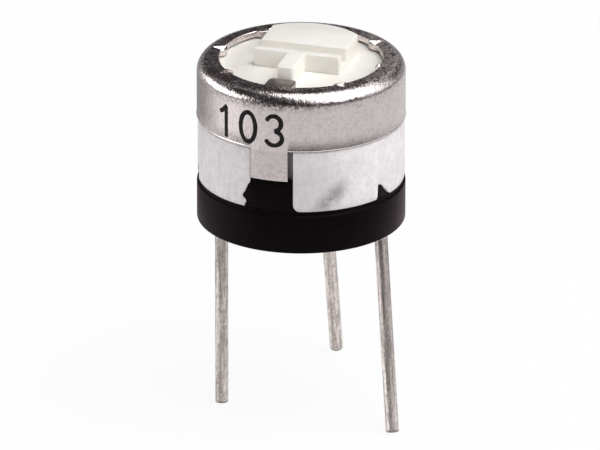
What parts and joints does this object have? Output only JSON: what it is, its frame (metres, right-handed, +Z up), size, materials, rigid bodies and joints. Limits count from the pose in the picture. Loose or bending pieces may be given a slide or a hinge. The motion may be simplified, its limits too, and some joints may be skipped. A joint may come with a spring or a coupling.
{
  "type": "trimmer potentiometer",
  "caption": "Round single-turn trimmer potentiometer: metal-capped housing on a dark base, slotted rotor with a stop tab, and wire leads for a circuit board.",
  "frame": {"origin": "centre of the flat standoff under the base, which seats on a circuit board", "axes": "+Z up along the rotor's axis; -Y towards the cap's front leg and stop tab; the wiper's lead leaves the base at +Y and the end leads at -X and +X"},
  "size_m": [0.0067, 0.0077, 0.0117],
  "materials": {
    "plated_metal": "satin, drawn sheet",
    "white_rotor": "warm white moulding",
    "grey_white_housing": "matt, smudged",
    "black_base": "satin black moulding",
    "tinned_wire": "dull tinned",
    "seal_rubber": "matt",
    "spring_alloy": "bright",
    "alumina": "matt",
    "track_film": "fired film",
    "contact_film": "fired film",
    "solder": "bright"
  },
  "bodies": {
    "body": {"cap": "plated_metal", "housing": "grey_white_housing", "base": "black_base", "substrate": "alumina", "resistive_track": "track_film", "collector_film": "contact_film", "end_film_1": "contact_film", "end_film_3": "contact_film", "lead_1": "tinned_wire", "lead_2": "tinned_wire", "lead_3": "tinned_wire", "solder_1": "solder", "solder_2": "solder", "solder_3": "solder"},
    "rotor": {"rotor": "white_rotor", "shaft_seal": "seal_rubber", "wiper": "spring_alloy"}
  },
  "joints": [
    {"name": "rotor_turn", "type": "hinge", "parent": "body", "child": "rotor", "pos_m": [0, 0, 0.0041], "axis": [0, 0, 1], "range_deg": [-120, 120]}
  ]
}
